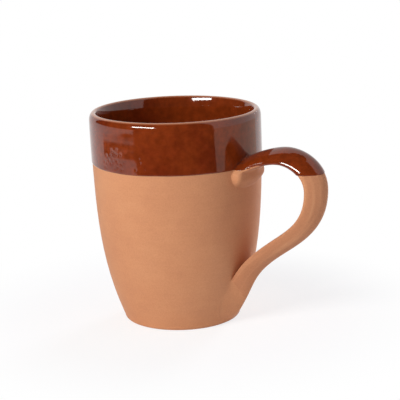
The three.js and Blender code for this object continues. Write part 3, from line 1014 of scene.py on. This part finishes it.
class MUG_OT_dip_rim(Operator):
    """Dip the rim: glaze over the lip and the upper band of the outside"""

    bl_idname = "mug.dip_rim"
    bl_label = "Dip the rim"

    # A cluster of pits in the coat, left of the middle as the mug is seen, and some stray ones beside it
    pits_turn = math.radians(-97)
    pits_spread = math.radians(6)
    pits_drop = 18.8 * MM
    pits_rise = 2.6 * MM
    pits_count = 21
    pits_apart = 1.4 * MM
    pit_sizes = (0.7, 1.2)
    pits_seed = 7
    strays_turn = math.radians(-77)
    strays_spread = math.radians(2.5)
    strays_count = 4
    # Columns lie closer together where the pits are
    fine_half = math.radians(38)
    fine_step = 0.3 * MM
    coarse_columns = 340
    row_step = 0.36 * MM
    inner_step = 0.4 * MM
    edge_rows = np.array((0, 0.03, 0.1, 0.2, 0.34, 0.5, 0.7, 0.95, 1.25))  # in heights of the edge
    band_start = 1.6
    settling = 3 * MM  # swells and pits fade out over this height at both ends of the band
    overlap = 3 * MM  # how far the dip runs under the lining
    hair = 0.01 * MM  # the lining covers the end of the dip by a hair

    def scatter(self, chance, pits, turn, spread, count, height):
        """Adds pits at random places that keep apart from each other."""
        wanted = len(pits) + count
        while len(pits) < wanted:
            pit_turn = chance.normal(turn, spread)
            pit_height = chance.normal(height, self.pits_rise)
            size = chance.uniform(*self.pit_sizes)
            gaps = [math.hypot((pit_turn - other[0]) * cup_high.x, pit_height - other[1]) for other in pits]
            if min(gaps, default=self.pits_apart) >= self.pits_apart:
                pits.append((pit_turn, pit_height, size))

    def execute(self, context):
        cup, glaze = context.scene.mug_cup, context.scene.mug_glaze
        wall = CupWall(cup)
        first, last = self.pits_turn - self.fine_half, self.pits_turn + self.fine_half
        fine = np.arange(first, last, self.fine_step / cup.rim_radius)
        rest = np.linspace(fine[-1], fine[0] + 2 * math.pi, self.coarse_columns)[1:-1]
        turns = np.concatenate((fine, rest))
        columns = len(turns)
        chance = np.random.default_rng(self.pits_seed)
        pits = []
        pits_height = cup.height - self.pits_drop
        self.scatter(chance, pits, self.pits_turn, self.pits_spread, self.pits_count, pits_height)
        self.scatter(chance, pits, self.strays_turn, self.strays_spread, self.strays_count, pits_height)
        band_rises = even_steps(self.band_start * glaze.edge, wall.lip_base - glaze.line, self.row_step)
        rises = np.concatenate((glaze.edge * self.edge_rows, band_rises))[:, None]
        level = 1 - rises / rises[-1]
        heights = glaze.line + rises + (glaze_line(glaze, turns) - glaze.line)[None, :] * level
        band = wall.outside(heights) + wall.uneven(turns[None, :], heights)
        under_lip = smoothstep(heights, wall.lip_base - self.settling, wall.lip_base)
        settled = smoothstep(rises, 0, self.settling) * (1 - under_lip)
        surface = coat_waves(glaze, turns[None, :], heights) - pitted(glaze, turns[None, :], heights, pits)
        surface = coat(glaze, rises) + surface * settled
        seam = wall.bevel_top - glaze.seam_drop - self.overlap
        inner = even_steps(wall.bevel_top, seam, self.inner_step)

        def rings(deep_band, deep):
            lip, inside = wall.lip_rings(deep), wall.inner_rings(inner, deep)
            over = [np.concatenate((lip[i], inside[i][1:]))[:, None] for i in (0, 1)]
            strays = wall.uneven(turns[None, :], np.minimum(over[1], cup.height))
            radii = np.vstack((band + deep_band, over[0] + strays))
            all_heights = np.vstack((heights, over[1] * np.ones((1, columns))))
            return radii, all_heights

        radii, all_heights = rings(surface, glaze.thickness - self.hair)
        back_radii, back_heights = rings(-UNDER_CLAY, -UNDER_CLAY)
        radii = np.vstack((radii, back_radii[::-1]))
        all_heights = np.vstack((all_heights, back_heights[::-1]))
        points = turned_points(radii, all_heights, turns)
        faces = grid_faces(len(radii), columns, wrap_rows=True, wrap_columns=True)
        add_piece(context, "dipped_rim", points, faces, ["brown_glaze"], "rim_band_glaze")
        return {"FINISHED"}


class MUG_OT_dip_handle(Operator):
    """Dip the top of the handle: glaze over the crest and down to the glaze line"""

    bl_idname = "mug.dip_handle"
    bl_label = "Dip the handle"

    ring_step = 0.3 * MM
    hidden = 0.4  # the coat's hidden side lies less deep here than on the cup

    def execute(self, context):
        scene = context.scene
        glaze = scene.mug_glaze
        strap = Strap(CupWall(scene.mug_cup), scene.mug_handle)
        runs = even_steps(0, strap.length / 2, self.ring_step)
        points = strap.surface(runs)
        points[..., 2] -= root_climb(glaze, strap.wall, points[..., 0])
        work = bmesh.new()
        corners = [work.verts.new(point) for point in points.reshape(-1, 3)]
        for face in grid_faces(len(runs), STRAP_SIDES, wrap_columns=True):
            work.faces.new([corners[corner] for corner in face])
        bmesh.ops.recalc_face_normals(work, faces=work.faces)
        everything = work.verts[:] + work.edges[:] + work.faces[:]
        bmesh.ops.bisect_plane(
            work, geom=everything, dist=SAME_POINT,
            plane_co=(0, 0, glaze.line), plane_no=(0, 0, 1), clear_inner=True,
        )
        rises = [max(corner.co.z - glaze.line, 0) for corner in work.verts]
        for corner in work.verts:
            corner.co.z += root_climb(glaze, strap.wall, corner.co.x)
        work.normal_update()
        work.verts.index_update()
        clay = np.array([corner.co[:] for corner in work.verts])
        normals = np.array([corner.normal[:] for corner in work.verts])
        front = clay + normals * coat(glaze, np.array(rises))[:, None]
        back = clay - normals * self.hidden * UNDER_CLAY
        faces = [tuple(corner.index for corner in face.verts) for face in work.faces]
        work.free()
        points, faces = closed_shell(front, back, faces)
        add_piece(context, "dipped_handle_top", points, faces, ["brown_glaze"], "handle_glaze")
        return {"FINISHED"}


class MUG_OT_set_stage(Operator):
    """Set the pale floor, the soft lamps, the surroundings and the camera"""

    bl_idname = "mug.set_stage"
    bl_label = "Set the stage"

    lamp_aim = Vector((0, 0, 0.06))
    # Each lamp's name, its tint and whether the glaze mirrors it
    lamps = (
        ("key_lamp", (1, 0.98, 0.95), True),
        ("edge_lamp", (0.93, 0.97, 1.1), False),
        ("fill_lamp", (0.97, 0.98, 1.04), False),
    )
    room_tint = (0.94, 0.97, 1.08, 1)
    # The floor shows a shadow near the mug and turns white between these two distances
    shadow_tint = (0.3, 0.296, 0.297, 1)
    shadow_glow = 0.74
    shadow_reach = (0.065, 0.14)
    floor_corners = 64
    # Glowing finishes of the painted reflections: dark for the unlit room, pinkish for the floor on the
    # right
    gloom_finishes = (("painted_dark_reflection", (0.02, 0.02, 0.02, 1)), ("painted_pinkish_reflection", (0.92, 0.74, 0.64, 1)))
    sheet_columns = 36
    dome_rows = 16

    def bearing(self, turn):
        """Level direction at an angle to the right of the camera, seen from the mug."""
        around = self.stage.camera_turn + turn
        return np.array((math.sin(around), -math.cos(around), 0))

    def place(self, turn, rise, distance):
        level = self.bearing(turn) * math.cos(rise)
        return Vector(distance * (level + np.array((0, 0, math.sin(rise)))))

    def seen_by_eye_or_gloss(self, tree):
        """1 for rays from the camera, off gloss and through glass, and 0 for rays that light things."""
        path = add_node(tree, "ShaderNodeLightPath").outputs
        either = calculated(tree, "MAXIMUM", path["Is Camera Ray"], path["Is Glossy Ray"])
        return calculated(tree, "MAXIMUM", either, path["Is Transmission Ray"])

    def set_camera(self, context):
        stage = self.stage
        camera = bpy.data.objects.new("camera", bpy.data.cameras.new("camera"))
        camera.data.lens = stage.lens
        camera.data.sensor_width = 36
        camera.data.clip_end = 50
        location = Vector(self.bearing(0) * stage.camera_distance)
        location.z = stage.camera_height
        camera.matrix_world = (
            Matrix.Translation(location)
            @ Matrix.Rotation(stage.camera_turn - stage.camera_aside, 4, "Z")
            @ Matrix.Rotation(math.pi / 2 - stage.camera_dip, 4, "X")
            @ Matrix.Rotation(-stage.camera_roll, 4, "Z")
        )
        context.scene.collection.objects.link(camera)
        context.scene.camera = camera

    def set_world(self, context):
        """A room that looks white and lights the mug less than it looks."""
        world = bpy.data.worlds.new("pale_room")
        context.scene.world = world
        tree = emptied(world)
        lighting, shown = (
            add_node(tree, "ShaderNodeBackground", {"Color": tint, "Strength": power}).outputs["Background"]
            for tint, power in ((self.room_tint, self.stage.ambient), (WHITE, 1.0))
        )
        surface = either_shader(tree, self.seen_by_eye_or_gloss(tree), lighting, shown)
        add_node(tree, "ShaderNodeOutputWorld", {"Surface": surface})

    def set_floor(self, context):
        """A pale floor that looks white and keeps the mug's shadow."""
        mesh = bpy.data.meshes.new("floor")
        rim = [(*heading(turn, self.stage.floor_radius), 0) for turn in all_round(self.floor_corners)]
        mesh.from_pydata(rim, [], [tuple(range(len(rim)))])
        floor = bpy.data.objects.new("floor", mesh)
        context.scene.collection.objects.link(floor)
        finish = bpy.data.materials.new("pale_floor")
        tree = emptied(finish)
        pale = (*context.scene.mug_colours.floor, 1)
        lit, half_lit = (
            add_node(tree, "ShaderNodeBsdfDiffuse", {"Color": tint}).outputs["BSDF"]
            for tint in (pale, self.shadow_tint)
        )
        shadow_glow = glow(tree, WHITE, self.shadow_glow)
        shaded = add_node(tree, "ShaderNodeAddShader", {0: half_lit, 1: shadow_glow}).outputs["Shader"]
        place = add_node(tree, "ShaderNodeTexCoord").outputs["Object"]
        reach = add_node(tree, "ShaderNodeVectorMath", {0: place}, operation="LENGTH").outputs["Value"]
        seen = either_shader(tree, eased(tree, reach, *self.shadow_reach), shaded, glow(tree, WHITE))
        surface = either_shader(tree, self.seen_by_eye_or_gloss(tree), lit, seen)
        add_node(tree, "ShaderNodeOutputMaterial", {"Surface": surface})
        mesh.materials.append(finish)

    def set_gloom(self, context):
        """The unlit parts of the room, which only gloss shows: sheets of floor and a dome with openings."""
        stage = self.stage
        left, right, back = stage.gloom_left, stage.gloom_right, stage.backdrop_turn
        points, faces, reflection_finish_indices = [], [], []

        def add_sheet(rows, pinkish=0):
            first = len(points)
            for row in rows:
                points.extend(tuple(point) for point in row)
            for face in grid_faces(len(rows), len(rows[0])):
                faces.append(tuple(first + corner for corner in face))
                reflection_finish_indices.append(pinkish)

        def ground(reach, start, end):
            turns = np.linspace(start, end, self.sheet_columns)
            return [Vector(self.bearing(turn) * reach) + Vector((0, 0, MM)) for turn in turns]

        def dome(low, start, end):
            turns = np.linspace(start, end, self.sheet_columns)
            rises = np.linspace(low, math.pi / 2, self.dome_rows)
            return [[self.place(turn, rise, stage.gloom_reach) for turn in turns] for rise in rises]

        # Painted dark reflection of the floor in front and of a strip on the left, and a pinkish painted
        # reflection of the floor on the right
        near_left = left + stage.dark_reflection_slant
        add_sheet([
            ground(stage.gloom_start, near_left, right),
            ground(stage.dark_reflection_start - stage.dark_reflection_gap, near_left, right),
            ground(stage.dark_reflection_start, left, right),
            ground(stage.gloom_reach, left, right),
        ])
        add_sheet([ground(reach, stage.dark_reflection_left, left) for reach in (stage.dark_reflection_start, stage.dark_reflection_end)])
        add_sheet([ground(reach, right, back) for reach in (stage.gloom_start, stage.gloom_reach)], pinkish=1)
        add_sheet(dome(0, left, right))
        add_sheet(dome(stage.card_top, -back, left))
        add_sheet(dome(stage.panel_top, right, back))
        add_sheet(dome(stage.backdrop_top, back, 2 * math.pi - back))
        mesh = bpy.data.meshes.new("gloom")
        mesh.from_pydata(points, [], faces)
        gloom = bpy.data.objects.new("gloom", mesh)
        context.scene.collection.objects.link(gloom)
        # The sheets glow as painted reflections, dark or pinkish, and only gloss sees them
        for name, shade in self.gloom_finishes:
            finish = bpy.data.materials.new(name)
            tree = emptied(finish)
            add_node(tree, "ShaderNodeOutputMaterial", {"Surface": glow(tree, shade)})
            mesh.materials.append(finish)
        mesh.polygons.foreach_set("material_index", reflection_finish_indices)
        gloom.visible_camera = False
        gloom.visible_diffuse = False
        gloom.visible_shadow = False
        gloom.visible_transmission = False

    def add_lamp(self, context, name, tint, mirrored):
        """A soft lamp that faces the mug."""
        settings = getattr(context.scene, f"mug_{name}")
        lamp = bpy.data.objects.new(name, bpy.data.lights.new(name, "AREA"))
        lamp.data.shape = "RECTANGLE"
        lamp.data.size = settings.width
        lamp.data.size_y = settings.height
        lamp.data.energy = settings.power
        lamp.data.color = tint
        lamp.location = self.place(settings.turn, settings.rise, settings.distance)
        lamp.rotation_euler = (self.lamp_aim - lamp.location).to_track_quat("-Z", "Y").to_euler()
        lamp.visible_camera = False
        lamp.visible_glossy = mirrored
        context.scene.collection.objects.link(lamp)

    def execute(self, context):
        self.stage = context.scene.mug_stage
        context.scene.view_settings.view_transform = "Standard"
        self.set_camera(context)
        self.set_world(context)
        self.set_floor(context)
        self.set_gloom(context)
        for name, tint, mirrored in self.lamps:
            self.add_lamp(context, name, tint, mirrored)
        return {"FINISHED"}


class MUG_PT_sidebar(Panel):
    """Lists the steps of making the mug"""

    bl_idname = "MUG_PT_sidebar"
    bl_label = "Dipped clay mug"
    bl_space_type = "VIEW_3D"
    bl_region_type = "UI"
    bl_category = "Mug"

    def draw(self, context):
        layout = self.layout
        for operator in OPERATORS:
            layout.operator(operator.bl_idname)
        for name in SETTINGS:
            settings = getattr(context.scene, name)
            box = layout.box()
            box.label(text=settings.bl_rna.description)
            for field in settings.bl_rna.properties.keys():
                if field not in ("rna_type", "name"):
                    box.prop(settings, field)


OPERATORS = (
    MUG_OT_throw_cup,
    MUG_OT_pull_handle,
    MUG_OT_lute_joints,
    MUG_OT_pour_lining,
    MUG_OT_dip_rim,
    MUG_OT_dip_handle,
    MUG_OT_set_stage,
)
SETTINGS = {
    "mug_cup": MugCupSizes,
    "mug_handle": MugHandleSizes,
    "mug_joints": MugJointSizes,
    "mug_glaze": MugGlazeSizes,
    "mug_colours": MugColours,
    "mug_stage": MugStageSizes,
    "mug_key_lamp": MugKeyLamp,
    "mug_edge_lamp": MugEdgeLamp,
    "mug_fill_lamp": MugFillLamp,
}


def register():
    for name, group in SETTINGS.items():
        bpy.utils.register_class(group)
        setattr(bpy.types.Scene, name, PointerProperty(type=group))
    for operator in OPERATORS:
        bpy.utils.register_class(operator)
    bpy.utils.register_class(MUG_PT_sidebar)


def unregister():
    bpy.utils.unregister_class(MUG_PT_sidebar)
    for operator in reversed(OPERATORS):
        bpy.utils.unregister_class(operator)
    for name, group in reversed(SETTINGS.items()):
        delattr(bpy.types.Scene, name)
        bpy.utils.unregister_class(group)


def main():
    register()
    bpy.ops.mug.throw_cup()
    bpy.ops.mug.pull_handle()
    bpy.ops.mug.lute_joints()
    bpy.ops.mug.pour_lining()
    bpy.ops.mug.dip_rim()
    bpy.ops.mug.dip_handle()
    bpy.ops.mug.set_stage()


if __name__ == "__main__":
    main()
